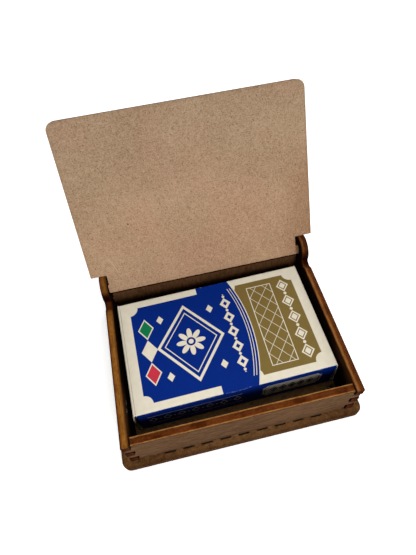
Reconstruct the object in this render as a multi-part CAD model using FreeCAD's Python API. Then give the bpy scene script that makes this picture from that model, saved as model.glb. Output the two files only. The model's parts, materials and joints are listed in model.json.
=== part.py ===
import FreeCAD, Part
import math
import os

# A card box laser-cut from flat fibreboard, and the tuck box of playing cards that lies in it.
# Six flat panels: four walls with interlocking fingers stand in slots of the base plate, and
# the lid turns on two tabs of its own that sit in holes in the ears of the side panels.
#
# Millimetres, +Z up.  X runs along the hinge, and the front wall faces -Y.
# The origin is the middle of the base plate's underside.  The lid is drawn fully open.

V = FreeCAD.Vector

# ---- playing cards and their tuck box ----
card_length = 83.0
card_width = 50.0
card_thickness = 0.42
card_count = 40
card_corner = 3.0
board = 0.45             # paperboard of the tuck box
flap_slip = 0.08         # between a tucked flap and the panel over it
card_end_play = 0.52     # at each end of a card
card_side_play = 0.55    # at each side of a card
stack_headroom = 0.44    # above the top card
fold_radius = 0.9        # outside of a flap's fold
flap_bow = 0.7           # a tucked flap bulges this far between its two folds
flap_lean = 1.2          # the right flap's foot stands out this far beyond its head
bow_radius = 60.0        # of the rounding at the middle of a bulging flap
edge_radius = 0.6        # outside of the four long folds
slit_setback = 1.35      # from the tuck end back to the cut edge of the face panel
tongue_length = 14.0
flap_ease = 0.35         # a flap is this much narrower than the inside, each side
dust_flap_share = 0.42   # length of a dust flap, as a share of the inner width

# ---- room around the tuck box ----
side_room = 4.0          # left and right together
front_finger_gap = 8.8   # to reach in with a finger
rear_room = 5.2
head_room = 3.3
deck_shift_x = -0.15     # the loose tuck box lies a little off its middle place
deck_skew = 1.0          # degrees, seen from above

# ---- fibreboard sheet, fingers and slots ----
sheet = 3.2
slot_ease = 0.45         # slots and fingers are cut for a sheet this much thicker
corner_gap = 0.65        # between a cross wall's notch and the side panel's finger in it
tab_width = 4.0
tab_pitch = 8.0
tab_play = 0.1           # at each end of a tab
tab_margin = 12.0        # least plain length between a corner and the first tab
finger_rows = 5          # even rows belong to the side panels

# ---- base plate ----
base_side_overhang = 3.9
base_end_overhang = 3.4  # front and rear
base_corner = 3.5

# ---- lid ----
lid_side_overhang = 3.35
lid_front_overhang = 2.8
lid_corner = 3.5
lid_notch_corner = 0.4
lid_seat_gap = 0.1       # under the closed lid
tongue_play_left = 0.45  # between the lid's tongue and the left ear
tongue_play_right = 1.25
open_angle = 120.0       # degrees from closed

# ---- hinge ----
hinge_tab_height = 4.0
hinge_fit = 0.09         # between a tab's corners and its hole
ear_radius = 6.6
ear_clearance = 0.25     # between the ear and the lid's notch edge
stop_gap = 0.08          # between the open lid and the ears' heels
heel_corner = 0.6
relief_radius = 2.8      # scallop in the top edge in front of an ear
relief_overlap = 0.6     # how far the scallop's circle reaches into the ear's
ear_root_radius = 1.5    # hollow under the back of an ear
rear_wall_drop = 1.5     # the rear wall ends below the others, so that the lid can turn

# ---- sizes that follow ----
stack_height = card_count * card_thickness
carton_length = card_length + 2 * (card_end_play + 2 * board + flap_slip)
carton_width = card_width + 2 * (card_side_play + board)
carton_height = stack_height + stack_headroom + 4 * board + 2 * flap_slip

inner_width = carton_length + side_room
inner_depth = carton_width + front_finger_gap + rear_room
wall_height = carton_height + head_room
half_inner_x = inner_width / 2
half_inner_y = inner_depth / 2
half_x = half_inner_x + sheet
half_y = half_inner_y + sheet
wall_top = sheet + wall_height
finger_height = wall_height / finger_rows
deck_y = (front_finger_gap - rear_room) / 2

pivot_y = half_y - sheet / 2
pivot_z = wall_top + lid_seat_gap + sheet / 2
notch_distance = ear_radius + ear_clearance
tab_half_diagonal = math.hypot(hinge_tab_height / 2, sheet / 2)
hole_radius = tab_half_diagonal + hinge_fit


# ---- drawing helpers ----
def rounded_wire(corners):
    """A closed outline of straight runs.  Each corner is (point, radius), radius 0 is sharp."""
    runs = []
    count = len(corners)
    for index in range(count):
        here, radius = corners[index]
        before = (corners[index - 1][0] - here).normalize()
        after = (corners[(index + 1) % count][0] - here).normalize()
        if radius == 0:
            runs.append((here, None, here))
            continue
        half_turn = before.getAngle(after) / 2
        reach = radius / math.tan(half_turn)
        bisector = (before + after).normalize()
        middle = here + bisector * (radius / math.sin(half_turn) - radius)
        runs.append((here + before * reach, middle, here + after * reach))
    edges = []
    for index in range(count):
        start, middle, end = runs[index]
        if middle is not None:
            edges.append(Part.Arc(start, middle, end).toShape())
        next_start = runs[(index + 1) % count][0]
        if end.distanceToPoint(next_start) > 1e-6:
            edges.append(Part.LineSegment(end, next_start).toShape())
    return Part.Wire(edges)


def slab(wire, thickness):
    """The flat panel that a closed outline cuts from sheet of this thickness."""
    return Part.Face(wire).extrude(thickness)


def block(x_range, y_range, z_range):
    """A box between two values on each axis, in either order."""
    low = V(min(x_range), min(y_range), min(z_range))
    high = V(max(x_range), max(y_range), max(z_range))
    size = high - low
    return Part.makeBox(size.x, size.y, size.z, low)


def joined(first, others):
    """One solid from pieces that overlap or share a face."""
    solid = first.fuse(others).removeSplitter()
    return solid.Solids[0] if len(solid.Solids) == 1 else solid


def save(shape, node):
    shape.exportStep("parts/" + node + ".step")


# ---- places that two panels share ----
def tab_centres(length):
    """Middles of the evenly spaced tabs along a wall of this outer length."""
    count = int((length - 2 * tab_margin - tab_width) // tab_pitch) + 1
    first = -(count - 1) * tab_pitch / 2
    return [first + index * tab_pitch for index in range(count)]


def wall_rows(parity):
    """Height ranges of the even (0) or odd (1) finger rows, counted from the base plate."""
    low_edges = [sheet + row * finger_height for row in range(parity, finger_rows, 2)]
    return [(low, low + finger_height) for low in low_edges]


# ---- base plate ----
def base_plate():
    x = half_x + base_side_overhang
    y = half_y + base_end_overhang
    corners = [(V(-x, -y, 0), base_corner), (V(x, -y, 0), base_corner),
               (V(x, y, 0), base_corner), (V(-x, y, 0), base_corner)]
    plate = slab(rounded_wire(corners), V(0, 0, sheet))
    half_slot = tab_width / 2 + tab_play
    slots = []
    for side in (-1, 1):
        for centre in tab_centres(2 * half_x):
            y_range = (side * half_inner_y, side * (half_y + slot_ease))
            slots.append(block((centre - half_slot, centre + half_slot), y_range, (0, sheet)))
        for centre in tab_centres(2 * half_y):
            x_range = (side * half_inner_x, side * (half_x + slot_ease))
            slots.append(block(x_range, (centre - half_slot, centre + half_slot), (0, sheet)))
    return plate.cut(slots)


# ---- front and rear walls ----
def cross_wall(side, top):
    """A wall across the box: side is -1 for the front and 1 for the rear."""
    y_range = (side * half_inner_y, side * half_y)
    notched_x = half_inner_x - corner_gap
    panel = block((-notched_x, notched_x), y_range, (sheet, top))
    extras = []
    for low, high in wall_rows(1):
        extras.append(block((-half_x, half_x), y_range, (low, high)))
    for centre in tab_centres(2 * half_x):
        x_range = (centre - tab_width / 2, centre + tab_width / 2)
        extras.append(block(x_range, y_range, (0, sheet)))
    return joined(panel, extras)


# ---- side panels with their hinge ears ----
def circle_point(centre, radius, degrees):
    """A point of a circle in the YZ plane: 0 degrees is the front (-Y), 90 is up."""
    angle = math.radians(degrees)
    return centre + V(0, -math.cos(angle), math.sin(angle)) * radius


def polar_degrees(centre, point):
    """The angle, as circle_point counts it, at which a point lies."""
    return math.degrees(math.atan2(point.z - centre.z, centre.y - point.y))


def arc(centre, radius, start_degrees, end_degrees):
    middle = (start_degrees + end_degrees) / 2
    points = [circle_point(centre, radius, a) for a in (start_degrees, middle, end_degrees)]
    return Part.Arc(*points).toShape()


def heel_direction():
    """Where the heel's flat leaves the ear's circle, so that it stops the lid at open_angle.

    The outer corner of the lid's notch edge lands on the flat.
    """
    corner_radius = math.hypot(notch_distance, sheet / 2)
    corner_lead = math.degrees(math.atan2(sheet / 2, notch_distance))
    contact = math.degrees(math.acos((ear_radius + stop_gap) / corner_radius))
    return open_angle - (contact - corner_lead)


def side_outline():
    """Outline of a side panel without fingers and tabs, in the YZ plane."""
    pivot = V(0, pivot_y, pivot_z)
    front = -half_y - slot_ease
    rear = half_y + slot_ease

    # scallop: a circle level with the pivot, reaching a little into the ear's circle
    apart = ear_radius + relief_radius - relief_overlap
    relief = V(0, pivot_y - apart, pivot_z)
    rise = pivot_z - wall_top
    relief_start = -math.degrees(math.asin(rise / relief_radius))
    meet_y = (apart ** 2 + relief_radius ** 2 - ear_radius ** 2) / (2 * apart)
    meet = relief + V(0, meet_y, -math.sqrt(relief_radius ** 2 - meet_y ** 2))
    relief_end = -360 + polar_degrees(relief, meet) % 360
    scallop_start = circle_point(relief, relief_radius, relief_start)

    # heel: a flat that leaves the ear's circle, then a corner, then the straight back
    turn = heel_direction()
    flat_start = circle_point(pivot, ear_radius, turn)
    flat_along = circle_point(V(0, 0, 0), 1, turn + 90)
    reach = (pivot_y + ear_radius - flat_start.y) / flat_along.y
    corner = flat_start + flat_along * reach
    corner_turn = flat_along.getAngle(V(0, 0, -1))
    setback = heel_corner * math.tan(corner_turn / 2)
    corner_start = corner - flat_along * setback
    corner_end = corner - V(0, 0, setback)
    corner_centre = corner_end - V(0, heel_corner, 0)

    # hollow between the back of the ear and the panel's straight rear edge
    root_y = rear + ear_root_radius
    root_far = ear_radius + ear_root_radius
    root = V(0, root_y, pivot_z - math.sqrt(root_far ** 2 - (root_y - pivot_y) ** 2))
    ear_end = polar_degrees(pivot, root) % 360
    root_start = polar_degrees(root, pivot)

    edges = [
        Part.LineSegment(V(0, front, sheet), V(0, front, wall_top)).toShape(),
        Part.LineSegment(V(0, front, wall_top), scallop_start).toShape(),
        arc(relief, relief_radius, relief_start, relief_end),
        arc(pivot, ear_radius, polar_degrees(pivot, meet), turn),
        Part.LineSegment(flat_start, corner_start).toShape(),
        arc(corner_centre, heel_corner, turn, 180),
        Part.LineSegment(corner_end, circle_point(pivot, ear_radius, 180)).toShape(),
        arc(pivot, ear_radius, 180, ear_end),
        arc(root, ear_root_radius, root_start, 0),
        Part.LineSegment(root - V(0, ear_root_radius, 0), V(0, rear, sheet)).toShape(),
        Part.LineSegment(V(0, rear, sheet), V(0, front, sheet)).toShape(),
    ]
    return Part.Wire(edges)


def side_wall(side):
    """A side panel: side is -1 for the left and 1 for the right."""
    x_range = (side * half_inner_x, side * half_x)
    left_face = min(x_range)
    panel = slab(side_outline(), V(sheet, 0, 0)).translated(V(left_face, 0, 0))
    tabs = []
    for centre in tab_centres(2 * half_y):
        y_range = (centre - tab_width / 2, centre + tab_width / 2)
        tabs.append(block(x_range, y_range, (0, sheet)))
    panel = joined(panel, tabs)
    notches = [Part.makeCylinder(hole_radius, sheet, V(left_face, pivot_y, pivot_z), V(1, 0, 0))]
    for end in (-1, 1):
        for z_range in wall_rows(1):
            y_range = (end * half_inner_y, end * (half_y + slot_ease))
            notches.append(block(x_range, y_range, z_range))
    return panel.cut(notches)


# ---- lid ----
def lid():
    outer_x = half_x + lid_side_overhang
    free_y = -half_y - lid_front_overhang
    notch_y = pivot_y - notch_distance
    tab_front = pivot_y - hinge_tab_height / 2
    tab_rear = pivot_y + hinge_tab_height / 2
    z = pivot_z - sheet / 2

    def half_outline(tongue_play):
        tongue_x = half_inner_x - tongue_play
        return [(outer_x, free_y, lid_corner), (outer_x, notch_y, lid_notch_corner),
                (tongue_x, notch_y, 0), (tongue_x, tab_front, 0),
                (half_x, tab_front, 0), (half_x, tab_rear, 0)]

    right = [(V(x, y, z), radius) for x, y, radius in half_outline(tongue_play_right)]
    left = [(V(-x, y, z), radius) for x, y, radius in reversed(half_outline(tongue_play_left))]
    closed = slab(rounded_wire(right + left), V(0, 0, sheet))
    closed.rotate(V(0, pivot_y, pivot_z), V(1, 0, 0), -open_angle)
    return closed


# ---- tuck box ----
def flap_ribbon(end, fold_z, tucked_z, foot_out, middle_out):
    """A panel's end, folded over one end of the tuck box, with its tongue tucked inside.

    end is -1 for the left end and 1 for the right.  The flap leaves the panel whose outer
    face is at fold_z, and its tongue's outer face lies at tucked_z.  Its tucked fold stands
    out by foot_out, and the middle of its height by middle_out.
    """
    toward = 1 if tucked_z > fold_z else -1
    outer = end * carton_length / 2
    inner = outer - end * board
    foot = end * foot_out
    bulge = end * middle_out
    root = outer - end * 2 * fold_radius
    tip = outer - end * tongue_length
    inside_fold = fold_radius - board
    half_width = carton_width / 2 - board - flap_ease
    z_middle = (fold_z + tucked_z) / 2
    z_fold_inner = fold_z + toward * board
    z_tuck_inner = tucked_z - toward * board
    corners = [(root, fold_z, 0), (outer, fold_z, fold_radius),
               (outer + bulge, z_middle, bow_radius),
               (outer + foot, tucked_z, fold_radius), (tip, tucked_z, 0),
               (tip, z_tuck_inner, 0), (inner + foot, z_tuck_inner, inside_fold),
               (inner + bulge, z_middle, bow_radius - board),
               (inner, z_fold_inner, inside_fold), (root, z_fold_inner, 0)]
    outline = rounded_wire([(V(x, -half_width, z), radius) for x, z, radius in corners])
    return slab(outline, V(0, 2 * half_width, 0))


def dust_flap(end, side):
    """A short flap folded in from a side of the tuck box, behind the end flap."""
    outer = end * (carton_length / 2 - board - flap_slip)
    wall = side * (carton_width / 2 - board)
    length = dust_flap_share * (carton_width - 2 * board)
    z_low = 2 * board + 2 * flap_slip
    z_range = (z_low, carton_height - z_low)
    x_range = (outer - end * board, outer)
    bridge = block((outer - end * 3 * board, outer), (wall, wall + side * board), z_range)
    return [block(x_range, (wall, wall - side * length), z_range), bridge]


def tuck_box():
    """Folded paperboard, one piece: a sleeve, two tucked end flaps and four dust flaps."""
    x_end = carton_length / 2 - fold_radius
    y = carton_width / 2
    inside_radius = edge_radius - board

    def section(inset, radius):
        corners = [(-y + inset, inset), (y - inset, inset),
                   (y - inset, carton_height - inset), (-y + inset, carton_height - inset)]
        wire = rounded_wire([(V(-x_end, a, b), radius) for a, b in corners])
        return slab(wire, V(2 * x_end, 0, 0))

    sleeve = section(0, edge_radius).cut(section(board, inside_radius))
    face_cut = block((-carton_length / 2, -carton_length / 2 + slit_setback),
                     (-y + board, y - board), (carton_height - board, carton_height))
    sleeve = sleeve.cut(face_cut)
    tucked_low = board + flap_slip
    flaps = [flap_ribbon(-1, 0, carton_height - tucked_low, 0, flap_bow),
             flap_ribbon(1, carton_height, tucked_low, flap_lean, flap_lean / 2 + flap_bow / 2)]
    for end in (-1, 1):
        for side in (-1, 1):
            flaps.extend(dust_flap(end, side))
    return joined(sleeve, flaps)


def playing_card(index):
    """One card of the pack, lying on the one below.  Index 0 is the lowest."""
    x = card_length / 2
    y = card_width / 2
    z = 2 * board + flap_slip + index * card_thickness
    corners = [V(-x, -y, z), V(x, -y, z), V(x, y, z), V(-x, y, z)]
    outline = rounded_wire([(corner, card_corner) for corner in corners])
    return slab(outline, V(0, 0, card_thickness))


def laid_in_box(shape):
    """The tuck box's own frame, moved to where it lies on the base plate."""
    turn = FreeCAD.Rotation(V(0, 0, 1), deck_skew)
    move = FreeCAD.Placement(V(deck_shift_x, deck_y, sheet), turn)
    return shape.transformed(move.toMatrix())


def main():
    os.makedirs("parts", exist_ok=True)
    save(base_plate(), "base_plate")
    save(cross_wall(-1, wall_top), "front_wall")
    save(cross_wall(1, wall_top - rear_wall_drop), "rear_wall")
    save(side_wall(-1), "left_wall")
    save(side_wall(1), "right_wall")
    save(lid(), "lid")
    save(laid_in_box(tuck_box()), "tuck_box")
    for index in range(card_count):
        save(laid_in_box(playing_card(index)), f"playing_card_{index + 1:02d}")


main()
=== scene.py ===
import json
import math
from dataclasses import dataclass

import bpy
import bmesh
from mathutils import Euler, Matrix, Vector, noise


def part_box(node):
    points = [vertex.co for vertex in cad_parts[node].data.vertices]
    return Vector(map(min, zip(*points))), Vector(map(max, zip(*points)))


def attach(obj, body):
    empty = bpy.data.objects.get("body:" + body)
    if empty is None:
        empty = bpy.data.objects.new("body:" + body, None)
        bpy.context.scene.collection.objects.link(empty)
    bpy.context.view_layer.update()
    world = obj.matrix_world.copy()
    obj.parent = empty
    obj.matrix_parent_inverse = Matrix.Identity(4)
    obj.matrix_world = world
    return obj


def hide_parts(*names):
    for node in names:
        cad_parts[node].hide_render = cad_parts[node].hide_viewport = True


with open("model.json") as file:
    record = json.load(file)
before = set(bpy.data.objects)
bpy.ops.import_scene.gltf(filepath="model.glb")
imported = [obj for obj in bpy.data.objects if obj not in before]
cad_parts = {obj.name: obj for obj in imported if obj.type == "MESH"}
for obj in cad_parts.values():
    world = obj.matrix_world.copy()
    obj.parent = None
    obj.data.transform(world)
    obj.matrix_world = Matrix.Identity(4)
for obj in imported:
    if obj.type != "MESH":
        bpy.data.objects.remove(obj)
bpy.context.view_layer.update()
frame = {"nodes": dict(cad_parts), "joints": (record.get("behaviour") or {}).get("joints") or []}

MM = 0.001

# ---- places read from the frame, in metres ----
base_low, base_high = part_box("base_plate")
sheet = base_high.z - base_low.z
hinge = next(joint for joint in frame["joints"] if joint["name"] == "lid_hinge")
pivot = Vector(hinge["pos_m"])
closing_turn = math.radians(max(hinge["range_deg"]))

# ---- the tuck box lies a little askew; its own frame starts at the middle of its underside ----
deck_skew = math.radians(1.0)
deck_low, deck_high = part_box("tuck_box")
card_low, card_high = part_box("playing_card_01")
deck_origin = Vector(((card_low.x + card_high.x) / 2, (card_low.y + card_high.y) / 2, deck_low.z))
deck_to_row = Matrix.Translation(deck_origin) @ Matrix.Rotation(deck_skew, 4, "Z")

# ---- sizes in mm, as in the CAD ----
deck_length = 86.0
deck_width = 52.0
deck_height = (deck_high.z - deck_low.z) / MM
paperboard = 0.45            # thickness of the tuck box's sheet
inner_half_length = 45.0
inner_half_width = 33.0
slot_pitch = 8.0
slot_half_length = 2.1
slot_half_width = 1.83
slot_row_y = 34.82           # middle of the slots along the long sides
slot_row_x = 46.82           # middle of the slots along the short sides
slot_row_end = 35.0          # the long rows stop here, and the short ones at slot_column_end
slot_column_end = 23.0
lid_reach = 73.6             # from the hinge to the lid's free edge
lid_behind = 2.0             # from the hinge to its rear edge
lid_half_length = 51.55
wall_end = 48.2              # fingers stand proud of this on the front and rear walls
side_end = 36.2              # and of this on the side walls
shaded_below = 24.6         # the fingers take the ends' painted shade up to here,
clean_above = 25.0           # and the rim on top is as it is elsewhere from here on
ear_hollow = (28.2, 25.4)    # where an ear meets the hollow in front of it: along the wall, and up
face_limit = 0.7             # a surface that faces an axis by more than this is a face, not a cut edge


def srgb(red, green, blue):
    """A colour given as it looks on a screen, 0 to 255, as the linear values that nodes take."""
    def linear(value):
        value = value / 255
        return value / 12.92 if value <= 0.04045 else ((value + 0.055) / 1.055) ** 2.4
    return (linear(red), linear(green), linear(blue), 1.0)


def stops(*pairs):
    return [(position, srgb(*colour)) for position, colour in pairs]


# ===== shader helpers
class Nodes:
    """Adds nodes to a tree.  A value is a number, a tuple, or the output socket of another node."""

    def __init__(self, tree):
        self.tree = tree

    def put(self, socket, value):
        if isinstance(value, bpy.types.NodeSocket):
            self.tree.links.new(value, socket)
        else:
            socket.default_value = value

    def add(self, kind, inputs=None, output=0, **settings):
        made = self.tree.nodes.new("ShaderNode" + kind)
        for name, value in settings.items():
            setattr(made, name, value)
        for key, value in (inputs or {}).items():
            self.put(made.inputs[key], value)
        return made.outputs[output]

    def math(self, operation, *values):
        return self.add("Math", dict(enumerate(values)), operation=operation)

    def plus(self, first, second):
        return self.math("ADD", first, second)

    def minus(self, first, second):
        return self.math("SUBTRACT", first, second)

    def times(self, first, second):
        return self.math("MULTIPLY", first, second)

    def size(self, value):
        return self.math("ABSOLUTE", value)

    def above(self, value, limit):
        return self.math("GREATER_THAN", value, limit)

    def below(self, value, limit):
        return self.math("LESS_THAN", value, limit)

    def off(self, value, middle):
        """How far value is from middle, either way."""
        return self.size(self.minus(value, middle))

    def least(self, first, *others):
        for other in others:
            first = self.math("MINIMUM", first, other)
        return first

    def most(self, first, *others):
        for other in others:
            first = self.math("MAXIMUM", first, other)
        return first

    def repeat(self, value, pitch, start=0.0):
        """Distance from the nearest of the places start, start + pitch, and so on, either way."""
        return self.math("WRAP", self.minus(value, start), pitch / 2, -pitch / 2)

    def vector(self, operation, *values, output=0):
        return self.add("VectorMath", dict(enumerate(values)), output, operation=operation)

    def scale(self, vector, factor):
        return self.add("VectorMath", {0: vector, "Scale": factor}, operation="SCALE")

    def split(self, vector):
        made = self.tree.nodes.new("ShaderNodeSeparateXYZ")
        self.put(made.inputs[0], vector)
        return made.outputs[0], made.outputs[1], made.outputs[2]

    def join(self, x=0.0, y=0.0, z=0.0):
        return self.add("CombineXYZ", {0: x, 1: y, 2: z})

    def turn(self, vector, centre, axis, angle):
        inputs = {"Vector": vector, "Center": centre, "Axis": axis, "Angle": angle}
        return self.add("VectorRotate", inputs, rotation_type="AXIS_ANGLE")

    def mix(self, factor, first, second, blend="MIX"):
        """Between two colours."""
        made = self.tree.nodes.new("ShaderNodeMix")
        made.data_type = "RGBA"
        made.blend_type = blend
        self.put(made.inputs[0], factor)
        self.put(made.inputs[6], first)         # the sockets for colours
        self.put(made.inputs[7], second)
        return made.outputs[2]

    def tint(self, factor, colour, by):
        """The colour multiplied by another one, as far as factor says."""
        return self.mix(factor, colour, by, "MULTIPLY")

    def blend(self, factor, first, second):
        """Between two numbers."""
        made = self.tree.nodes.new("ShaderNodeMix")
        self.put(made.inputs[0], factor)
        self.put(made.inputs[2], first)         # the sockets for numbers
        self.put(made.inputs[3], second)
        return made.outputs[0]

    def ramp(self, factor, stops):
        made = self.tree.nodes.new("ShaderNodeValToRGB")
        elements = made.color_ramp.elements
        elements[0].position, elements[0].color = stops[0]
        elements[1].position, elements[1].color = stops[-1]
        for position, colour in stops[1:-1]:
            elements.new(position).color = colour
        self.put(made.inputs[0], factor)
        return made.outputs[0]

    def noise(self, vector, scale, detail=2.0, roughness=0.5):
        inputs = {"Vector": vector, "Scale": scale, "Detail": detail, "Roughness": roughness}
        return self.add("TexNoise", inputs)

    def rise(self, value, low, high, bottom=0.0, top=1.0, smooth=True):
        """From bottom, where value is low, to top, where it is high."""
        inputs = {"Value": value, "From Min": low, "From Max": high, "To Min": bottom, "To Max": top}
        return self.add("MapRange", inputs, interpolation_type="SMOOTHSTEP" if smooth else "LINEAR")

    def place(self):
        """The point in the object's own frame, in metres: the row's frame, or the tuck box's."""
        return self.add("TexCoord", output="Object")

    def normal(self):
        """The way that the surface faces, in the same frame."""
        return self.add("TexCoord", output="Normal")

    def seen_directly(self):
        """1 for the rays that see the background as it is: from the camera, a mirror or glass."""
        path = self.tree.nodes.new("ShaderNodeLightPath")
        return self.most(*(path.outputs[name] for name in
                           ("Is Camera Ray", "Is Glossy Ray", "Is Transmission Ray")))


class Shader(Nodes):
    """One node material."""

    def __init__(self, name):
        self.material = bpy.data.materials.new(name)
        self.material.use_nodes = True
        super().__init__(self.material.node_tree)
        self.tree.nodes.clear()

    def surface(self, colour, roughness, bump=None, bump_depth=0.0, **inputs):
        """The Principled shader and the output.  bump is a height from 0 to 1, bump_depth in metres."""
        shader = self.tree.nodes.new("ShaderNodeBsdfPrincipled")
        self.put(shader.inputs["Base Color"], colour)
        self.put(shader.inputs["Roughness"], roughness)
        for name, value in inputs.items():
            self.put(shader.inputs[name.replace("_", " ")], value)
        if bump is not None:
            normal = self.add("Bump", {"Strength": 1.0, "Distance": bump_depth, "Height": bump})
            self.put(shader.inputs["Normal"], normal)
        out = self.tree.nodes.new("ShaderNodeOutputMaterial")
        self.tree.links.new(shader.outputs[0], out.inputs[0])
        return self.material


# ===== fibreboard
@dataclass
class PanelLook:
    """How one panel looks.  Colours are a pair, darker and lighter; edges are stops across the sheet."""

    axes: str                      # the two axes along the sheet, then the one through it
    outward: int                   # the side of the outer face on that last axis
    outer: tuple
    inner: tuple
    long_edge: list
    end_edge: list
    seed: float
    fibres: float = 0.5            # how much the pale fibres show
    glint: float = 0.05            # how pale they are on the inner face
    mottle: float = 0.42           # coarse mottle, as a share of the tone
    stretch: tuple = (1.0, 1.0)    # below 1, the mottle is drawn out along that axis
    inside_shade: tuple = None           # painted shade: what a wall's inner face is multiplied by
    shaded_behind: tuple = None    # from where to where along a wall the painted shade comes up to the rim, in mm
    dimming: float = 0.5             # strength of the browned outline
    specks: float = 0.3            # strength of the dark specks and flecks
    proud: float = None            # where the fingers begin to stand proud, in mm
    patchy: float = 0.4            # strength of the dark patches on the cut edge


# ---- marks: a shade multiplies the board's colour, the others are mixed with it ----
end_shade = srgb(226, 220, 214)
speck_shade = srgb(178, 166, 154)
pale_fibre = srgb(232, 214, 188)
fleck_shade = srgb(140, 122, 106)
cool_shade = srgb(252, 252, 248)
warm_shade = srgb(255, 249, 247)
free_edge_shade = srgb(236, 243, 247)
right_side_shade = srgb(236, 228, 224)
long_mark = srgb(216, 190, 158)
dark_mark = srgb(72, 40, 28)
slot_char = srgb(24, 14, 8)
slot_inside = srgb(26, 13, 6)
smoke_shade = srgb(150, 124, 98)
streak_shade = srgb(160, 140, 120)
grain_shade = srgb(196, 182, 168)
patch_shade = srgb(150, 124, 108)
# painted shade in the hollow in front of each ear
ear_shade = srgb(140, 84, 70)
ear_back_shade = srgb(186, 176, 186)


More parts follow.
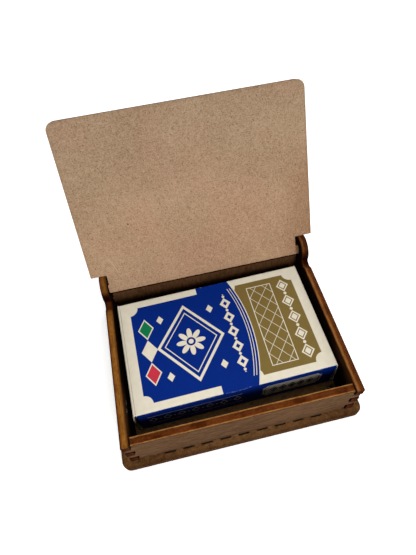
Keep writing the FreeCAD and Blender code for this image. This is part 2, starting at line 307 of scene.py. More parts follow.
class Fibreboard(Shader):
    """Pressed fibreboard with laser-browned edges.

    The shader works in mm: along and across the sheet, and in depth from its middle towards the
    outer face.  low and high are the panel's corners in metres.  turned is for the lid, which is
    folded back to its closed place first, so that its sheet lies along two axes.
    """

    def __init__(self, name, look, low, high, turned=0.0):
        super().__init__(name)
        self.look = look
        place = self.place()
        normal = self.normal()
        if turned:
            place = self.turn(place, tuple(pivot), (1.0, 0.0, 0.0), turned)
            normal = self.turn(normal, (0.0, 0.0, 0.0), (1.0, 0.0, 0.0), turned)
        places = self.split(self.scale(place, 1 / MM))
        normals = self.split(normal)
        first, second, third = ("XYZ".index(axis) for axis in look.axes)
        middle = (low[third] + high[third]) / 2 / MM
        self.along = places[first]
        self.across = places[second]
        self.depth = self.times(self.minus(places[third], middle), look.outward)
        self.facing_end = self.size(normals[first])
        self.on_face = self.above(self.size(normals[third]), face_limit)
        self.is_outer = self.above(self.depth, 0.0)
        self.is_inner = self.below(self.depth, 0.0)
        self.rim = self.least(self.minus(self.along, low[first] / MM),
                              self.minus(high[first] / MM, self.along),
                              self.minus(self.across, low[second] / MM),
                              self.minus(high[second] / MM, self.across))

        self.plane = self.join(self.along, self.across)
        own_part = (look.seed * 31.0, look.seed * 13.0, look.seed * 7.0)
        self.spot = self.vector("ADD", self.join(self.along, self.across, self.depth), own_part)
        drawn_out = self.vector("MULTIPLY", self.spot, (look.stretch[0], look.stretch[1], 1.0))
        self.mottle = self.noise(drawn_out, 0.6, 3.0, 0.6)
        self.grain = self.noise(drawn_out, 1.9, 4.0, 0.75)
        self.waver = self.noise(self.spot, 0.3, 3.0, 0.6)
        cloud = self.noise(self.spot, 0.045, 2.0, 0.5)
        tone = self.plus(self.times(cloud, 0.16), self.times(self.mottle, look.mottle))
        tone = self.plus(tone, self.times(self.grain, 0.84 - look.mottle))
        self.tone = self.rise(tone, 0.34, 0.66)

    # ---- marks ----
    def from_stroke(self, offset, angle, curl):
        """How far a point is from a stroke's middle, and how far off its curved line."""
        run, away, _ = self.split(self.turn(offset, (0.0, 0.0, 0.0), (0.0, 0.0, 1.0), angle))
        return self.size(run), self.off(away, self.times(self.times(run, run), curl))

    def strokes(self, density, length, width, seed, share, curl=0.12):
        """Fibres: one short stroke in each cell of a random pattern.  Sizes in mm; 1 on a stroke."""
        moved = self.vector("ADD", self.plane, (seed * 17.3, seed * 9.1, 0.0))
        cell = self.tree.nodes.new("ShaderNodeTexVoronoi")
        cell.voronoi_dimensions = "2D"
        self.put(cell.inputs["Vector"], moved)
        self.put(cell.inputs["Scale"], density)
        offset = self.vector("SUBTRACT", moved, cell.outputs["Position"])
        chance = self.tree.nodes.new("ShaderNodeSeparateColor")
        self.put(chance.inputs[0], cell.outputs["Color"])
        angle = self.times(chance.outputs[0], 2 * math.pi)
        run, away = self.from_stroke(offset, angle, curl)
        reach = self.times(self.plus(chance.outputs[2], 0.35), length)
        on_line = self.rise(away, 0.0, width, 1.0, 0.0)
        on_length = self.rise(run, self.times(reach, 0.4), reach, 1.0, 0.0)
        chosen = self.below(chance.outputs[1], share)
        return self.times(self.times(on_line, on_length), chosen)

    def mark(self, centre, degrees, length, width, curl=0.0):
        """One drawn stroke at a chosen place on the inner face, in mm; 1 on the stroke."""
        offset = self.join(self.minus(self.along, centre[0]), self.minus(self.across, centre[1]))
        run, away = self.from_stroke(offset, math.radians(-degrees), curl)
        on_line = self.rise(away, width * 0.25, width * 0.6, 1.0, 0.0)
        on_length = self.rise(run, length * 0.4, length * 0.5, 1.0, 0.0)
        return self.times(self.times(on_line, on_length), self.is_inner)

    def painted_inside_shade(self, face):
        """Painted shade: inside the box the walls are darker below the rim, and up to it near the hinge."""
        dimming = self.rise(self.plus(self.across, self.times(self.mottle, 3.0)), 16.0, 26.5, 1.0, 0.0)
        if self.look.shaded_behind:
            dimming = self.most(dimming, self.rise(self.along, *self.look.shaded_behind))
        return self.tint(dimming, face, self.look.inside_shade)

    def plate_face(self, face):
        """The base plate is darker towards its ends, and has a floor of its own inside the walls."""
        face = self.tint(self.rise(self.size(self.along), 8.0, 44.0), face, end_shade)
        outside = self.most(self.minus(self.size(self.along), inner_half_length),
                            self.minus(self.size(self.across), inner_half_width))
        inside = self.times(self.rise(outside, 0.15, -0.15), self.is_inner)
        return self.mix(inside, face, self.mix(self.tone, *floor_pair))

    def fibres(self, face):
        """Dark specks and flecks, pale fibres short and long, and a slight change of hue."""
        look = self.look
        seed = look.seed
        dark_specks = self.strokes(1.15, 0.6, 0.22, seed + 3.0, 0.55)
        pale_fibres = self.strokes(0.7, 1.0, 0.2, seed, 0.45)
        long_fibres = self.strokes(0.1, 3.6, 0.2, seed + 8.0, 0.4, 0.05)
        hairs = self.strokes(0.3, 1.5, 0.2, seed + 11.0, 0.4, 0.3)
        flecks = self.strokes(0.42, 0.55, 0.32, seed + 15.0, 0.35)
        darker = self.tint(1.0, face, speck_shade)
        lighter = self.mix(self.blend(self.is_outer, look.glint, 0.05), face, pale_fibre)
        face = self.mix(self.times(dark_specks, look.specks), face, darker)
        for fibre, strength in ((pale_fibres, 1.0), (long_fibres, 0.8), (hairs, 1.3)):
            face = self.mix(self.times(fibre, look.fibres * strength), face, lighter)
        face = self.tint(self.times(flecks, look.specks), face, fleck_shade)
        hue = self.noise(self.vector("ADD", self.spot, (50.0, 20.0, 0.0)), 0.03, 2.0, 0.5)
        hue = self.mix(self.rise(hue, 0.35, 0.65), cool_shade, warm_shade)
        return self.tint(1.0, face, hue)

    def lid_face(self, face):
        """The lid is darker towards its free edge, and at its right side near the hinge."""
        face = self.tint(self.rise(self.across, -36.0, 30.0, 1.0, 0.0), face, free_edge_shade)
        aside = self.times(self.rise(self.along, 34.0, 50.0), self.rise(self.across, -26.0, 6.0))
        face = self.tint(aside, face, right_side_shade)
        # two marks on its inner face: a long pale fibre and a dark fleck
        fibre = self.mark((-40.4, 23.4), 68.0, 8.2, 0.3, 0.02)
        fleck = self.mark((-29.9, 6.2), 25.0, 1.0, 0.55)
        face = self.mix(self.times(fibre, 0.5), face, long_mark)
        return self.mix(self.times(fleck, 0.85), face, dark_mark)

    def slot_rims(self, face):
        """The laser burns a thin rim round each slot."""
        rows = ((self.along, self.across, slot_row_y, slot_row_end, 0.0),
                (self.across, self.along, slot_row_x, slot_column_end, slot_pitch / 2))
        burnt = []
        for run, away, middle, row_end, start in rows:
            beside = self.minus(self.size(self.repeat(run, slot_pitch, -start)), slot_half_length)
            before = self.minus(self.off(self.size(away), middle), slot_half_width)
            past_row = self.minus(self.size(run), row_end)
            burnt.append(self.most(beside, before, past_row))
        rim_width = self.blend(self.waver, 0.3, 0.6)
        scorching = self.rise(self.least(*burnt), rim_width, 0.12, 0.0, 0.85)
        return self.mix(scorching, face, slot_char)

    # ---- cut edge ----
    def cut_edge(self, plate):
        """Colour across the sheet, fine grain, and streaks that run along it; returns the streaks, too."""
        look = self.look
        share = self.plus(self.math("DIVIDE", self.depth, sheet / MM), 0.5)
        share = self.plus(share, self.times(self.minus(self.waver, 0.5), 0.14))
        ends = self.rise(self.facing_end, 0.7, 0.98)
        edge = self.mix(ends, self.ramp(share, look.long_edge), self.ramp(share, look.end_edge))
        through_sheet = self.noise(self.vector("MULTIPLY", self.spot, (1.0, 1.0, 0.15)), 1.3, 3.0, 0.65)
        along_sheet = self.noise(self.vector("MULTIPLY", self.spot, (0.16, 0.5, 1.4)), 1.3, 3.0, 0.65)
        streak = self.blend(0.75, through_sheet, along_sheet)
        edge = self.tint(self.rise(streak, 0.45, 0.68, 0.0, 0.6), edge, streak_shade)
        edge = self.tint(self.rise(self.grain, 0.46, 0.6, 0.0, 0.55), edge, grain_shade)
        # dark patches, weaker along the two rims of the edge
        patch = self.rise(self.noise(self.spot, 0.14, 4.0, 0.6), 0.42, 0.66, 0.0, look.patchy)
        off_rim = self.rise(self.off(share, 0.5), 0.4, 0.28, 0.35, 1.0)
        edge = self.tint(self.times(patch, off_rim), edge, patch_shade)
        if plate:
            # inside the slots the plate is charred
            edge = self.mix(self.rise(self.rim, 1.0, 2.0), edge, slot_inside)
        if look.proud:
            # fingers that stand proud of the next wall take the ends' darker colour, a painted shade, all
            # round, but for the rim on top
            finger = self.rise(self.size(self.along), look.proud - 0.2, look.proud)
            finger = self.times(finger, self.rise(self.across, clean_above, shaded_below))
            edge = self.mix(finger, edge, self.ramp(share, look.end_edge))
        return edge, streak

    def painted_ear_shade(self, edge, far, near, darkening):
        """Painted shade round the place where the ear meets its hollow, less from near to far, in mm.

        Behind that the edge is darker, as far as darkening says.
        """
        away = self.vector("DISTANCE", self.join(self.along, self.across), (*ear_hollow, 0.0), output=1)
        away = self.plus(away, self.times(self.waver, 1.6))
        edge = self.tint(self.rise(away, far, near, 0.0, 0.9), edge, ear_shade)
        return self.tint(self.rise(self.along, 19.0, 26.0, 0.0, darkening), edge, ear_back_shade)

    # ---- the whole ----
    def finished(self, plate=False, lid=False, ear=None):
        """The material.  ear is what painted_ear_shade takes, for a side wall."""
        look = self.look
        inner_face = self.mix(self.tone, *look.inner)
        # painted shade inside the box
        if look.inside_shade:
            inner_face = self.painted_inside_shade(inner_face)
        face = self.mix(self.is_outer, inner_face, self.mix(self.tone, *look.outer))
        if plate:
            face = self.plate_face(face)
        face = self.fibres(face)
        if lid:
            face = self.lid_face(face)
        # the laser's smoke browns the faces along their outlines
        outline = self.plus(self.rim, self.times(self.waver, -1.6))
        face = self.tint(self.rise(outline, 0.7, -0.7, 0.0, look.dimming), face, smoke_shade)
        if plate:
            face = self.slot_rims(face)
        edge, streak = self.cut_edge(plate)
        # painted shade where each ear meets its hollow
        if ear:
            edge = self.painted_ear_shade(edge, *ear)
        colour = self.mix(self.on_face, edge, face)
        roughness = self.blend(self.on_face, 0.9, self.rise(self.grain, 0.3, 0.7, 0.92, 1.0))
        relief = self.plus(self.times(self.grain, 0.5), self.times(streak, 0.5))
        return self.surface(colour, roughness, relief, 0.03 * MM, Specular_IOR_Level=0.012)


red_edge = stops((0.0, (168, 122, 70)), (0.11, (152, 104, 54)), (0.18, (92, 47, 19)), (0.5, (104, 53, 21)),
                 (0.82, (98, 49, 20)), (0.89, (152, 104, 54)), (1.0, (164, 116, 66)))
left_edge = stops((0.0, (78, 46, 20)), (0.14, (118, 75, 31)), (0.3, (151, 101, 42)), (0.66, (145, 94, 36)),
                  (0.84, (118, 64, 20)), (0.93, (70, 32, 10)), (1.0, (58, 26, 8)))
right_edge = stops((0.0, (80, 46, 20)), (0.08, (106, 64, 28)), (0.2, (153, 104, 54)), (0.38, (133, 83, 40)),
                   (0.52, (101, 54, 23)), (0.86, (92, 48, 20)), (1.0, (62, 30, 12)))
# the rear wall's top is near black but for its inner arris: painted shadow of the lid
lid_shadowed_rear_edge = stops((0.0, (100, 68, 34)), (0.05, (84, 52, 24)), (0.1, (26, 14, 8)), (1.0, (24, 13, 7)))
# the walls' ends are darker than their tops: painted shade
shaded_end_edge = stops((0.0, (74, 38, 20)), (0.5, (64, 30, 15)), (1.0, (52, 23, 11)))
base_edge = stops((0.0, (98, 68, 38)), (0.4, (92, 60, 32)), (0.62, (72, 42, 20)), (0.76, (40, 20, 10)),
                  (1.0, (24, 12, 8)))
lid_edge = stops((0.0, (120, 84, 42)), (0.5, (112, 68, 28)), (1.0, (84, 48, 20)))

outer_pair = (srgb(84, 58, 40), srgb(118, 90, 66))
# the inner faces of the walls are darker than their outsides: painted shade
shaded_inner_pair = (srgb(54, 34, 18), srgb(76, 48, 26))
base_pair = (srgb(86, 57, 30), srgb(136, 101, 64))
floor_pair = (srgb(92, 68, 42), srgb(130, 100, 64))
rear_pair = (srgb(76, 50, 30), srgb(104, 72, 46))
lid_pair = (srgb(156, 125, 98), srgb(194, 160, 130))

# each wall's inner face is multiplied darker below the rim, and on the side walls towards the hinge: painted
# shade
panels = {
    "base_plate": PanelLook("XYZ", -1, base_pair, base_pair, base_edge, base_edge, 1.0),
    "front_wall": PanelLook("XZY", -1, outer_pair, shaded_inner_pair, red_edge, shaded_end_edge, 2.0, stretch=(0.35, 1.3),
                            inside_shade=srgb(104, 90, 80), proud=wall_end, patchy=0.7),
    "rear_wall": PanelLook("XZY", 1, outer_pair, rear_pair, lid_shadowed_rear_edge, shaded_end_edge, 3.0, stretch=(1.5, 0.3),
                           inside_shade=srgb(150, 138, 128), dimming=0.1, specks=0.12, proud=wall_end),
    "left_wall": PanelLook("YZX", -1, outer_pair, shaded_inner_pair, left_edge, shaded_end_edge, 4.0, stretch=(0.35, 1.3),
                           inside_shade=srgb(84, 74, 66), shaded_behind=(-24.0, -8.0), proud=side_end),
    "right_wall": PanelLook("YZX", 1, outer_pair, shaded_inner_pair, right_edge, shaded_end_edge, 5.0, stretch=(0.35, 1.3),
                            inside_shade=srgb(84, 76, 72), shaded_behind=(-26.0, -8.0), proud=side_end),
}
ears = {"left_wall": (8.4, 3.6, 0.4), "right_wall": (5.2, 1.8, 0.8)}    # far, near and darkening
lid_look = PanelLook("XYZ", 1, outer_pair, lid_pair, lid_edge, lid_edge, 6.0, fibres=0.6, glint=0.3,
                     mottle=0.2, dimming=0.12, specks=0.5)


def wear(node, material):
    """Gives a CAD node its material."""
    frame["nodes"][node].data.materials.clear()
    frame["nodes"][node].data.materials.append(material)


for node, look in panels.items():
    shader = Fibreboard(node + "_board", look, *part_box(node))
    wear(node, shader.finished(plate=node == "base_plate", ear=ears.get(node)))

# the lid, as it lies when closed
lid_low = Vector((-lid_half_length * MM, pivot.y - lid_reach * MM, pivot.z))
lid_high = Vector((lid_half_length * MM, pivot.y + lid_behind * MM, pivot.z))
wear("lid", Fibreboard("lid_board", lid_look, lid_low, lid_high, closing_turn).finished(lid=True))


# ===== card stock
def card_stock():
    """Smooth white card; its cut edge is a little greyer and shows the ply."""
    shader = Shader("card_stock")
    place = shader.scale(shader.place(), 1 / MM)
    normal_z = shader.split(shader.normal())[2]
    on_face = shader.above(shader.size(normal_z), face_limit)
    weave = shader.noise(place, 5.0, 2.0)
    ply = shader.noise(shader.vector("MULTIPLY", place, (0.3, 0.3, 9.0)), 1.2, 2.0)
    face = shader.mix(weave, srgb(226, 222, 212), srgb(236, 233, 225))
    edge = shader.mix(ply, srgb(190, 184, 172), srgb(228, 224, 214))
    colour = shader.mix(on_face, edge, face)
    return shader.surface(colour, 0.45, weave, 0.01 * MM, Specular_IOR_Level=0.4)


card_look = card_stock()
for node in frame["nodes"]:
    if node.startswith("playing_card"):
        wear(node, card_look)


# ===== tuck box: print
class Print(Shader):
    """Flat shapes drawn with distances in mm: below 0 is inside."""

    both = Nodes.most
    either = Nodes.least

    def within(self, value, reach, middle=0.0):
        return self.minus(self.off(value, middle), reach)

    def box(self, u, v, centre, half):
        return self.both(self.within(u, half[0], centre[0]), self.within(v, half[1], centre[1]))

    def disc(self, u, v, centre, radius):
        away = self.vector("DISTANCE", self.join(u, v), (centre[0], centre[1], 0.0), output=1)
        return self.minus(away, radius)

    def lozenge(self, u, v, centre, half):
        across = self.math("DIVIDE", self.off(u, centre[0]), half[0])
        up = self.math("DIVIDE", self.off(v, centre[1]), half[1])
        share = self.minus(self.plus(across, up), 1.0)
        return self.times(share, half[0] * half[1] / math.hypot(*half))

    def ticket(self, u, v, centre, half, bite):
        """A rectangle whose four corners are bitten off by circles."""
        corner = self.disc(self.off(u, centre[0]), self.off(v, centre[1]), half, bite)
        return self.without(self.box(u, v, centre, half), corner)

    def line(self, distance, width):
        return self.minus(self.size(distance), width / 2)

    def without(self, distance, other):
        return self.both(distance, self.times(other, -1.0))

    def lattice(self, u, v, pitch, start, width):
        slope = self.times(v, 0.8)
        return self.either(self.line(self.repeat(self.plus(u, slope), pitch, start), width),
                           self.line(self.repeat(self.minus(u, slope), pitch, start), width))

    def ink(self, distance, softness=0.07):
        return self.rise(distance, softness, -softness)


paper = srgb(226, 218, 198)
blue = srgb(0, 37, 122)
gold = srgb(122, 102, 54)
red = srgb(196, 52, 70)
green = srgb(16, 118, 72)
side_pale = srgb(196, 198, 202)
ticket_pale = srgb(206, 200, 186)
ticket_dark = srgb(52, 46, 46)
rubbed = srgb(176, 180, 190)
aged = srgb(214, 206, 190)
print_middle = 9.4        # height of the middle of the prints on the long sides and the end flaps
top_print_end = 41.6      # the print on top stops here, at both ends
fold_limit = 0.64         # it goes round the long folds until they face up by no more than this


def printed_top(shader, s, t):
    """A blue and a gold field that meet in an arc, with ornaments of lozenges, dots and lines."""
    field_half_width = 22.4
    bite = 3.6
    arc = shader.disc(s, t, (-62.0, 0.0), 76.0)
    field = shader.both(shader.ticket(s, t, (-8.0, 0.0), (29.5, field_half_width), bite), arc)
    band = shader.both(arc, shader.minus(-6.0, s))
    blue_part = shader.either(field, band)
    gold_part = shader.without(shader.ticket(s, t, (23.5, 0.0), (15.0, field_half_width), bite), arc)

    # a large lozenge frame holds a rosette of eight petals
    middle = (-13.6, 0.0)
    frame_line = shader.line(shader.lozenge(s, t, middle, (14.2, 17.6)), 1.15)
    thin_line = shader.line(shader.lozenge(s, t, middle, (11.4, 14.2)), 0.4)
    ds = shader.minus(s, middle[0])
    dt = shader.minus(t, middle[1])
    angle = shader.math("ARCTAN2", dt, ds)
    petals = shader.size(shader.math("COSINE", shader.times(angle, 4.0)))
    away = shader.vector("LENGTH", shader.join(ds, dt), output=1)
    rosette = shader.minus(away, shader.plus(shader.times(petals, 4.2), 2.2))
    rosette = shader.without(rosette, shader.minus(away, 2.0))
    rosette = shader.either(rosette, shader.minus(away, 1.1))
    pips = shader.lozenge(shader.size(ds), shader.size(dt), (11.4, 13.6), (1.6, 2.1))
    white = shader.either(frame_line, thin_line, rosette, pips)

    # beside it a chain of lozenges with dots between, then two fine lines along the arc
    chain_s = 5.4
    link = shader.repeat(t, 7.2)
    chain = shader.lozenge(s, link, (chain_s, 0.0), (2.5, 2.9))
    chain = shader.without(chain, shader.lozenge(s, link, (chain_s, 0.0), (1.0, 1.2)))
    dots = shader.disc(s, shader.repeat(t, 7.2, 3.6), (chain_s, 0.0), 0.62)
    chain = shader.both(shader.either(chain, dots), shader.within(t, 19.2))
    rules = shader.either(shader.line(shader.plus(arc, 1.5), 0.3), shader.line(shader.plus(arc, 2.6), 0.3))
    rules = shader.both(rules, shader.within(t, 21.6))
    white = shader.either(white, chain, rules, shader.line(arc, 0.8))

    # the gold field carries a framed lattice and a column of lozenges with dots between
    frame_box = shader.box(s, t, (22.5, 0.0), (5.6, 19.4))
    lattice = shader.both(shader.lattice(s, t, 5.6, 0.4, 0.26), frame_box)
    lattice = shader.either(lattice, shader.line(frame_box, 0.34))
    column_s = 33.4
    step = shader.repeat(t, 8.4)
    column = shader.lozenge(s, step, (column_s, 0.0), (2.9, 3.3))
    column = shader.without(column, shader.line(shader.lozenge(s, step, (column_s, 0.0), (1.8, 2.1)), 0.45))
    column = shader.either(column, shader.disc(s, shader.repeat(t, 8.4, 4.2), (column_s, 0.0), 0.7))
    column = shader.both(column, shader.within(t, 20.3))

    top = shader.mix(shader.ink(blue_part), paper, blue)
    top = shader.mix(shader.ink(gold_part), top, gold)
    top = shader.mix(shader.ink(shader.both(white, blue_part)), top, paper)
    top = shader.mix(shader.ink(shader.both(shader.either(lattice, column), gold_part)), top, paper)
    # three small lozenges, red, white and green, in a row at the left
    for jewel_t, colour in ((-10.6, red), (0.0, paper), (10.6, green)):
        jewel = shader.lozenge(s, t, (-31.8, jewel_t), (2.9, 4.3))
        top = shader.mix(shader.ink(shader.minus(jewel, 0.5)), top, paper)
        top = shader.mix(shader.ink(jewel), top, colour)
    return top


def printed_side(shader, s, z):
    """Blue, with a chain of lozenges between two fine lines, and a pale ticket of dark lozenges."""
    middle = print_middle
    link = shader.repeat(s, 6.0)
    chain = shader.lozenge(link, z, (0.0, middle), (2.0, 2.6))
    chain = shader.without(chain, shader.lozenge(link, z, (0.0, middle), (1.1, 1.4)))
    dots = shader.disc(shader.repeat(s, 6.0, 3.0), z, (0.0, middle), 0.6)
    rules = shader.line(shader.within(z, 4.4, middle), 0.34)
    chain = shader.both(shader.either(chain, dots, rules), shader.box(s, z, (-18.0, middle), (20.0, 6.0)))
    centre = (24.0, middle)
    ticket = shader.ticket(s, z, centre, (13.0, 5.6), 1.7)
    ticket_frame = shader.line(shader.ticket(s, z, centre, (12.0, 4.6), 1.7), 0.3)
    step = shader.repeat(s, 4.0, centre[0])
    gems = shader.lozenge(step, z, (0.0, middle), (1.7, 3.2))
    gems = shader.without(gems, shader.line(shader.lozenge(step, z, (0.0, middle), (1.0, 1.9)), 0.35))
    gems = shader.either(shader.both(gems, shader.box(s, z, centre, (9.9, 4.0))), ticket_frame)
    side = shader.mix(shader.ink(chain), blue, side_pale)
    side = shader.mix(shader.ink(ticket), side, ticket_pale)
    return shader.mix(shader.ink(gems), side, ticket_dark)


def printed_underside(shader, s, t):
    """A blue field crossed by white lines, inside a white border."""
    blue_part = shader.times(shader.lattice(s, t, 3.0, 0.0, 0.7), -1.0)
    blue_part = shader.both(blue_part, shader.box(s, t, (0.0, 0.0), (38.5, 22.4)))
    return shader.mix(shader.ink(blue_part), paper, blue)


def printed_end(shader, t, z):
    """White with one blue lozenge."""
    centre = (0.0, print_middle)
    lozenge = shader.lozenge(t, z, centre, (7.0, 5.0))
    lozenge = shader.without(lozenge, shader.line(shader.lozenge(t, z, centre, (5.4, 3.8)), 0.4))
    return shader.mix(shader.ink(lozenge), paper, blue)


def carton_print():
    """White board printed blue and gold.  s runs along the tuck box, t across it and z up, in mm."""
    shader = Print("printed_board")
    place = shader.scale(shader.place(), 1 / MM)
    s, t, z = shader.split(place)
    _, normal_t, normal_z = shader.split(shader.normal())
    off_middle = shader.off(z, deck_height / 2)

    # the dust flaps lie behind the end flaps
    dust_flap = shader.times(shader.below(shader.size(s), deck_length / 2 - 0.3),
                             shader.below(off_middle, deck_height / 2 - 1.0))
    colour = shader.mix(dust_flap, printed_end(shader, t, z), blue)
    top = shader.mix(shader.above(shader.size(s), top_print_end), printed_top(shader, s, t), paper)
    colour = shader.mix(shader.above(normal_z, fold_limit), colour, top)
    colour = shader.mix(shader.below(normal_z, -face_limit), colour, printed_underside(shader, s, t))
    colour = shader.mix(shader.above(shader.size(normal_t), face_limit), colour, printed_side(shader, s, z))

    # the ink is rubbed through in short stretches along the four long folds
    worn = 0.45
    corner = shader.plus(shader.within(t, deck_width / 2 - worn),
                         shader.minus(off_middle, deck_height / 2 - worn))
    rub = shader.noise(shader.vector("MULTIPLY", place, (0.5, 1.0, 1.0)), 0.9, 4.0, 0.7)
    rub = shader.times(shader.rise(rub, 0.56, 0.66), shader.rise(corner, 0.1, 0.5))
    colour = shader.mix(shader.times(rub, 0.55), colour, rubbed)
    mottle = shader.noise(place, 0.35, 3.0, 0.6)
    colour = shader.tint(shader.rise(mottle, 0.3, 0.7, 0.0, 0.16), colour, aged)
    fibre = shader.noise(place, 4.0, 3.0, 0.6)
    return shader.surface(colour, 0.5, fibre, 0.01 * MM, Specular_IOR_Level=0.04)


def plain_board(name, dark, light):
    """Unprinted board: the inside of the tuck box, and its cut edges."""
    shader = Shader(name)
    pulp = shader.noise(shader.scale(shader.place(), 1 / MM), 2.2, 3.0, 0.6)
    colour = shader.mix(shader.rise(pulp, 0.3, 0.7), dark, light)
    return shader.surface(colour, 0.8, pulp, 0.02 * MM, Specular_IOR_Level=0.3)


# ===== tuck box: folded board
fold = 0.6                # outside radius of the four long folds
flap_fold = 1.0           # outside radius at the end flaps
setback = 1.35            # from the left end back to the cut edge of the face panel
flap_inset = 0.8          # an end flap is this much narrower, each side
flap_shift = 0.1          # both end flaps sit this far to the right, +X
sleeve_end = deck_length / 2 - 0.9
side_setback = 0.7        # at the left end the side panels stop this much before the wide faces
left_bow = 0.72           # the left flap bulges by this much between its folds
right_lean = 1.25         # the right flap leans out by this much at its foot
crest = 0.62              # radius where the left flap turns in under the face panel
crown_height = 0.12       # the face panel rises by this much in its middle
tongue = 14.0             # the end flaps reach this far in under the face panel and over the bottom
tongue_gap = 0.1          # and leave this much to it
flap_widening = 1.026     # an end flap is this much wider than its fold, to match the folds beside it
tongue_narrowing = 0.97   # and its tongue this much narrower
dust_fold = 0.5           # outside radius at the dust flaps
dust_reach = (8.0, 21.0)  # a dust flap's middle and its end, from the side panel
dust_stand = 0.3          # it stands this far outside the sleeve,
dust_swell = 0.74         # and its fold swells out by this share of dust_fold
arc_steps = 4
arc_count = arc_steps + 1  # points on each long fold


def arc_points(centre, radius, start, end, count=arc_steps):
    """Points on an arc, from one angle to another, in degrees."""
    points = []
    for index in range(count + 1):
        angle = math.radians(start + (end - start) * index / count)
        points.append((centre[0] + radius * math.cos(angle), centre[1] + radius * math.sin(angle)))
    return points


def left_profile(top):
    """x and z of the left flap: up from the bottom panel, then in under the face panel."""
    end = -deck_length / 2
    points = arc_points((end + flap_fold + flap_shift, flap_fold), flap_fold, 260, 200)
    for index in range(9):
        share = index / 8
        z = flap_fold * 0.9 + (top - 1.9 * flap_fold) * share
        points.append((end + flap_shift - left_bow * math.sin(math.pi * share) ** 0.8, z))
    points += arc_points((end + flap_shift + crest, top - crest - 0.04), crest, 165, 60, 5)
    points.append((end + 1.3, top - paperboard - 0.16))
    points.append((end + 2.4, top - paperboard - 0.08))
    points.append((end + tongue, top - paperboard - tongue_gap))
    return points


def right_profile(top):
    """x and z of the right flap: down from the face panel, then in over the bottom panel."""
    end = deck_length / 2
    points = arc_points((end - flap_fold + flap_shift, top - flap_fold), flap_fold, 78, 15)
    for index in range(1, 9):
        share = index / 8
        z = top - flap_fold - (top - 2.6 * flap_fold) * share
        points.append((end + flap_shift + right_lean * share ** 0.75, z))
    foot = points[-1][0]
    points += arc_points((foot - flap_fold, 1.5 * flap_fold), flap_fold, -10, -85)
    points.append((foot - 2.2, paperboard + 0.12))
    points.append((end - tongue, paperboard + tongue_gap))
    return points


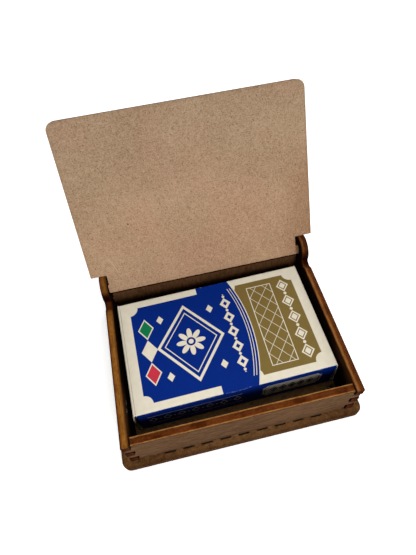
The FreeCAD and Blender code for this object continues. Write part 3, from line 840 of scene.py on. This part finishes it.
def tuck_box():
    """One folded sheet: a sleeve, two tucked end flaps and four dust flaps, thickened inward."""
    mesh = bmesh.new()
    half = deck_width / 2
    top = deck_height
    flap_half = half - flap_inset
    lip = 2 * paperboard + 0.16          # the dust flaps stop this far from the top and bottom

    # ring of the sleeve, in y and z, round from the bottom
    flat = [-flap_half, -flap_half * 0.6, 0.0, flap_half * 0.6, flap_half]
    rise = [lip, top * 0.35, top * 0.65, top - lip]
    ring = [(y, 0.0) for y in flat]
    ring += arc_points((half - fold, fold), fold, -90, 0)
    ring += [(half, z) for z in rise]
    ring += arc_points((half - fold, top - fold), fold, 0, 90)
    ring += [(y, top) for y in reversed(flat)]
    ring += arc_points((-half + fold, top - fold), fold, 90, 180)
    ring += [(-half, z) for z in reversed(rise)]
    ring += arc_points((-half + fold, fold), fold, 180, 270)
    rear_start = len(flat) + arc_count
    top_start = rear_start + len(rise) + arc_count
    front_start = top_start + len(flat) + arc_count

    def crown(x, y, z):
        """The wide faces are never quite flat."""
        if z < top - 1e-6:
            return z
        return z + crown_height * (1 - (x / sleeve_end) ** 2) * (1 - (y / half) ** 2)

    def cut_back(x, y):
        """At the left end the side panels stop a little early, and the folds lead over to them."""
        if x > -deck_length / 2 + setback + 1e-6:
            return x
        round_fold = max(0.0, abs(y) - (half - fold)) / fold
        return x + side_setback * round_fold

    stations = [-sleeve_end, -deck_length / 2 + setback, -28.0, -14.0, 0.0, 14.0, 28.0, sleeve_end]
    grid = [[mesh.verts.new((cut_back(x, y), y, crown(x, y, z))) for y, z in ring] for x in stations]
    face_panel = range(top_start, top_start + len(flat) - 1)
    for i in range(len(stations) - 1):
        for k in range(len(ring)):
            following = (k + 1) % len(ring)
            if i == 0 and k in face_panel:
                continue        # the face panel stops short of the left end, with a cut edge
            mesh.faces.new((grid[i][k], grid[i][following], grid[i + 1][following], grid[i + 1][k]))

    def strip(edge, path):
        """Carries a row of vertices along a path; path gives a place for each step and vertex."""
        rows = [edge]
        for step in path:
            rows.append([mesh.verts.new(place) for place in step])
        for first, second in zip(rows, rows[1:]):
            for a in range(len(first) - 1):
                mesh.faces.new((first[a], first[a + 1], second[a + 1], second[a]))

    def flap_rows(edge, profile):
        """The flap is about as wide as the box where it shows, and its tongue is narrower."""
        rows = []
        for x, z in profile:
            width = flap_widening if abs(x) > deck_length / 2 - 1.2 else tongue_narrowing
            rows.append([(x, vertex.co.y * width, z) for vertex in edge])
        return rows

    bottom_edge = grid[0][0:len(flat)]
    strip(bottom_edge, flap_rows(bottom_edge, left_profile(top)))
    top_edge = grid[-1][top_start:top_start + len(flat)]
    strip(top_edge, flap_rows(top_edge, right_profile(top)))

    # dust flaps fold in from the side panels at both ends
    for station, end in ((0, -1), (-1, 1)):
        for side, start in ((-1, front_start), (1, rear_start)):
            edge = grid[station][start:start + len(rise)]
            path = []
            for x, y in arc_points((0.0, 0.0), dust_fold, 90, 0)[1:]:
                out = sleeve_end + x * dust_swell - (side_setback if end < 0 else 0.0)
                path.append([(end * out, side * (half - dust_fold + y), vertex.co.z) for vertex in edge])
            for reach in dust_reach:
                place = (end * (sleeve_end + dust_stand), side * (half - reach))
                path.append([(*place, vertex.co.z) for vertex in edge])
            strip(edge, path)

    bmesh.ops.recalc_face_normals(mesh, faces=mesh.faces)
    bmesh.ops.scale(mesh, vec=(MM, MM, MM), verts=mesh.verts)
    thing = new_thing("folded_tuck_box", mesh)
    for look in (carton_print(), plain_board("board_inside", srgb(150, 142, 128), srgb(176, 168, 152)),
                 plain_board("board_edge", srgb(190, 186, 176), srgb(214, 208, 196))):
        thing.data.materials.append(look)
    thicken = thing.modifiers.new("thickness", "SOLIDIFY")
    thicken.thickness = paperboard * MM
    thicken.offset = -1.0
    thicken.use_even_offset = True
    thicken.material_offset = 1
    thicken.material_offset_rim = 2
    return thing


def new_thing(name, mesh):
    """A new object in the scene, from a bmesh, which is freed."""
    data = bpy.data.meshes.new(name)
    mesh.to_mesh(data)
    mesh.free()
    thing = bpy.data.objects.new(name, data)
    bpy.context.scene.collection.objects.link(thing)
    return thing


def apply_modifiers(thing, sharp_angle=35.0):
    """The evaluated mesh becomes the object's own, smooth but for its sharp corners."""
    graph = bpy.context.evaluated_depsgraph_get()
    made = bpy.data.meshes.new_from_object(thing.evaluated_get(graph))
    thing.modifiers.clear()
    thing.data = made
    mesh = bmesh.new()
    mesh.from_mesh(made)
    for face in mesh.faces:
        face.smooth = True
    for edge in mesh.edges:
        edge.smooth = not (len(edge.link_faces) == 2 and edge.calc_face_angle() > math.radians(sharp_angle))
    mesh.to_mesh(made)
    mesh.free()


carton = tuck_box()
apply_modifiers(carton)
carton.matrix_world = deck_to_row
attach(carton, "card_deck")
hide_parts("tuck_box")


# ===== dried glue inside the box
def glue_look():
    """Clear glue gone dry on dark board: dark, glossy, a little cloudy."""
    shader = Shader("dried_glue")
    cloudy = shader.noise(shader.scale(shader.place(), 1 / MM), 1.6, 3.0, 0.6)
    colour = shader.mix(shader.rise(cloudy, 0.35, 0.7), srgb(22, 19, 16), srgb(78, 74, 66))
    roughness = shader.rise(cloudy, 0.3, 0.7, 0.3, 0.5)
    return shader.surface(colour, roughness, cloudy, 0.05 * MM, Specular_IOR_Level=0.25)


def glue_drop(name, place, size, seed, look, on_wall=False):
    """An uneven drop, flat where it sticks: on the floor, or on a wall that faces +X."""
    stuck = 0 if on_wall else 2
    mesh = bmesh.new()
    bmesh.ops.create_icosphere(mesh, subdivisions=3, radius=1.0)
    for vertex in mesh.verts:
        direction = vertex.co.copy()
        swell = 1.0 + 0.28 * noise.noise(direction * 1.3 + Vector((seed, seed * 0.7, 2.0 * seed)))
        swell += 0.1 * noise.noise(direction * 3.1 + Vector((seed * 3.0, 1.0, seed)))
        point = direction * swell
        if point[stuck] < 0:
            point[stuck] *= 0.08
        vertex.co = Vector(point[axis] * size[axis] + place[axis] for axis in range(3)) * MM
    thing = new_thing(name, mesh)
    for face in thing.data.polygons:
        face.use_smooth = True
    thing.data.materials.append(look)
    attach(thing, "box")


glue = glue_look()
floor_z = sheet / MM
glue_drop("glue_drop_right", (43.75, -25.7, floor_z), (1.1, 0.95, 1.5), 1.0, glue)
glue_drop("glue_drop_right_small", (41.9, -26.1, floor_z), (0.9, 0.6, 0.5), 2.0, glue)
glue_drop("glue_drop_left", (-44.45, -26.1, floor_z), (0.5, 0.6, 0.7), 3.0, glue)
glue_drop("glue_drop_wall", (-45.0, -21.2, 20.8), (0.42, 0.95, 0.8), 4.0, glue, True)
glue_drop("glue_drop_wall_small", (-45.0, -17.6, 19.6), (0.3, 1.4, 0.45), 5.0, glue, True)
glue_drop("glue_smear", (21.0, -26.1, floor_z), (1.0, 0.4, 0.14), 6.0, glue)


# ===== stage, light, camera
def pale_floor(lift):
    """A matt pale floor, lifted towards white where it is seen directly, so that shadows stay.

    The lift grows to full white far from the object, and there is none below the base plate.
    """
    shader = Shader("pale_floor")
    place = shader.place()
    x, y, _ = shader.split(place)
    margin = 1.0 * MM
    beside = shader.most(shader.above(shader.size(x), base_high.x - margin),
                         shader.above(shader.size(y), base_high.y - margin))
    away = shader.vector("LENGTH", place, output=1)
    growing = shader.rise(away, 0.3, 1.2, lift, 1.0, smooth=False)
    strength = shader.times(shader.seen_directly(), shader.times(beside, growing))
    return shader.surface((0.82, 0.82, 0.82, 1.0), 0.9, Emission_Color=(1.0, 1.0, 1.0, 1.0),
                          Emission_Strength=strength)


half_floor = 3.0
floor_mesh = bmesh.new()
bmesh.ops.create_grid(floor_mesh, x_segments=1, y_segments=1, size=half_floor,
                      matrix=Matrix.Translation((0.0, 0.0, base_low.z)))
floor = new_thing("floor", floor_mesh)
floor.data.materials.append(pale_floor(0.5))


def lamp(name, direction, size, level, distance=1.1):
    """A soft round lamp.  At level 1 it alone shows a facing surface in its written colour."""
    data = bpy.data.lights.new(name, "AREA")
    data.shape = "DISK"
    data.size = size
    data.energy = level * (math.pi * distance) ** 2
    toward = Vector(direction).normalized()
    thing = bpy.data.objects.new(name, data)
    thing.location = Vector((0.0, 0.0, 0.02)) + toward * distance
    thing.rotation_euler = toward.to_track_quat("Z", "Y").to_euler()
    bpy.context.scene.collection.objects.link(thing)


lamp("key_lamp", (0.24, -0.74, 0.63), 0.5, 0.72)
lamp("top_lamp", (0.1, 0.12, 1.0), 0.6, 0.25)
lamp("left_back_lamp", (-0.7, 0.62, 0.34), 0.6, 0.42)
lamp("right_back_lamp", (0.7, 0.62, 0.34), 0.6, 0.42)

# the world is white where it is seen directly, and lights the object at a low level
world = bpy.data.worlds.new("studio")
bpy.context.scene.world = world
world.use_nodes = True
background = world.node_tree.nodes["Background"]
background.inputs["Color"].default_value = (1.0, 1.0, 1.0, 1.0)
sky = Nodes(world.node_tree)
sky.put(background.inputs["Strength"], sky.rise(sky.seen_directly(), 0.0, 1.0, 0.16, 1.0, smooth=False))

camera_place = Vector((-16.76, -78.38, 191.31)) * MM
camera_turn = (33.415, 2.498, -12.719)
camera_data = bpy.data.cameras.new("camera")
camera_data.sensor_fit = "HORIZONTAL"
camera_data.sensor_width = 36.0
camera_data.lens = 36.93
camera_data.clip_start = 0.01
camera = bpy.data.objects.new("camera", camera_data)
camera.location = camera_place
camera.rotation_euler = Euler([math.radians(angle) for angle in camera_turn], "XYZ")
bpy.context.scene.collection.objects.link(camera)
bpy.context.scene.camera = camera
bpy.context.scene.view_settings.view_transform = "Standard"
